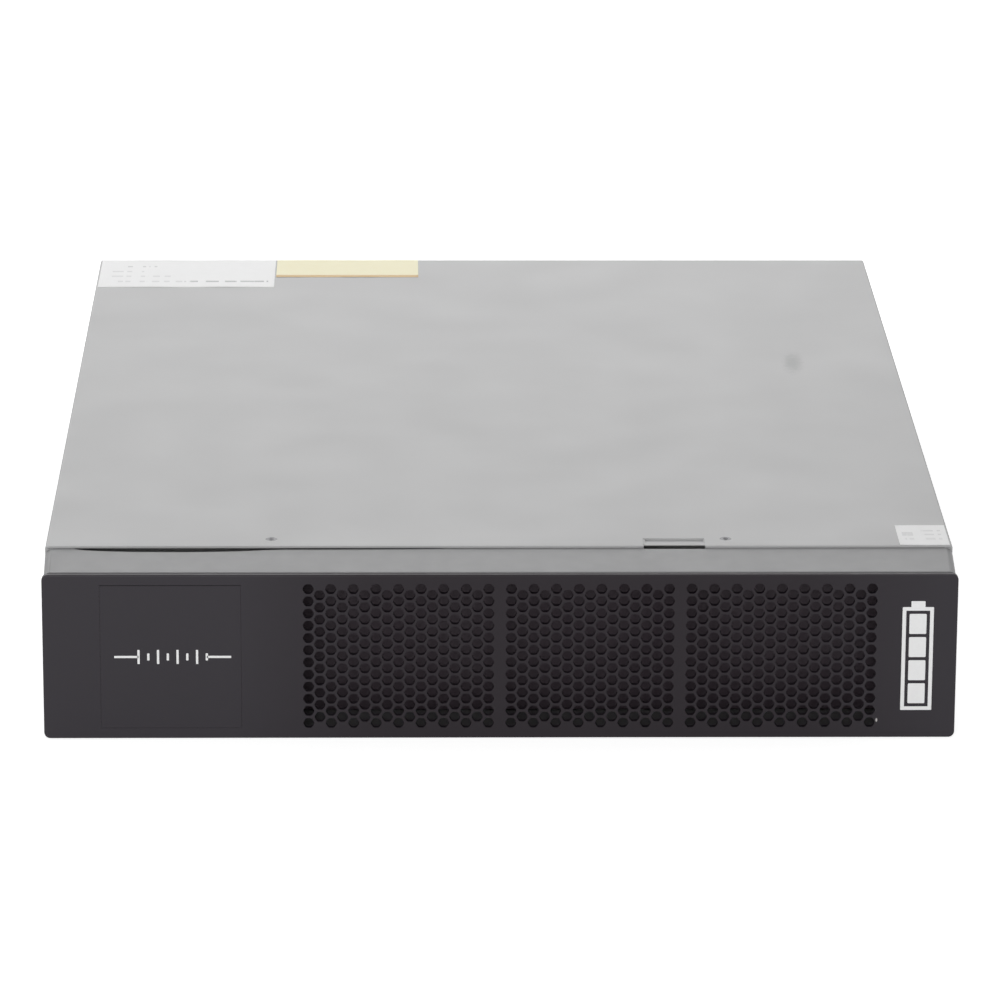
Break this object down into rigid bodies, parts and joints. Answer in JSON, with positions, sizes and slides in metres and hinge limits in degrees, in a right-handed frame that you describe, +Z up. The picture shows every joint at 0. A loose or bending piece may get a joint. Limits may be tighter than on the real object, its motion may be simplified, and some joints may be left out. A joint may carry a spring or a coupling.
{
  "type": "rack battery pack",
  "caption": "Flat external battery pack for a rack UPS: grey steel case, grey moulded front rim, black front panel with fields of hexagonal vents, sealed batteries in trays inside.",
  "frame": {"origin": "middle of the footprint, on the plane of the base", "axes": "+X to the right seen from the front, +Y from the front panel to the rear, +Z up"},
  "size_m": [0.438, 0.58, 0.0865],
  "materials": {
    "black_panel": "satin",
    "grey_moulding": "satin",
    "grey_paint": "satin",
    "black_paint": "matte",
    "insulating_film": "satin",
    "zinc_steel": "satin",
    "battery_case": "satin",
    "copper": "satin",
    "dark_plastic": "matte",
    "red_sleeve": "satin",
    "black_sleeve": "satin",
    "fuse_body": "matte"
  },
  "bodies": {
    "root": {"bar_supports": "dark_plastic", "battery_door": "black_paint", "battery_inner_1_left": "battery_case", "battery_inner_1_right": "battery_case", "battery_inner_2_left": "battery_case", "battery_inner_2_right": "battery_case", "battery_inner_3_left": "battery_case", "battery_inner_3_right": "battery_case", "battery_outer_1_left": "battery_case", "battery_outer_1_right": "battery_case", "battery_outer_2_left": "battery_case", "battery_outer_2_right": "battery_case", "battery_outer_3_left": "battery_case", "battery_outer_3_right": "battery_case", "battery_tray_left": "zinc_steel", "battery_tray_right": "zinc_steel", "black_lead_left": "black_sleeve", "black_lead_right": "black_sleeve", "chassis_tray": "grey_paint", "cover_insulator": "insulating_film", "cross_rail": "grey_paint", "dc_contacts_left": "copper", "dc_contacts_right": "copper", "dc_socket_left": "dark_plastic", "dc_socket_right": "dark_plastic", "display_blank": "black_panel", "front_frame": "grey_moulding", "front_panel": "black_panel", "hold_down_straps_left": "zinc_steel", "hold_down_straps_right": "zinc_steel", "minus_bar": "copper", "plus_bar": "copper", "rear_panel": "grey_paint", "red_lead_left": "red_sleeve", "red_lead_right": "red_sleeve", "series_links_left": "copper", "series_links_right": "copper", "strip_fuse_left": "fuse_body", "strip_fuse_right": "fuse_body", "top_cover": "grey_paint"}
  },
  "joints": []
}
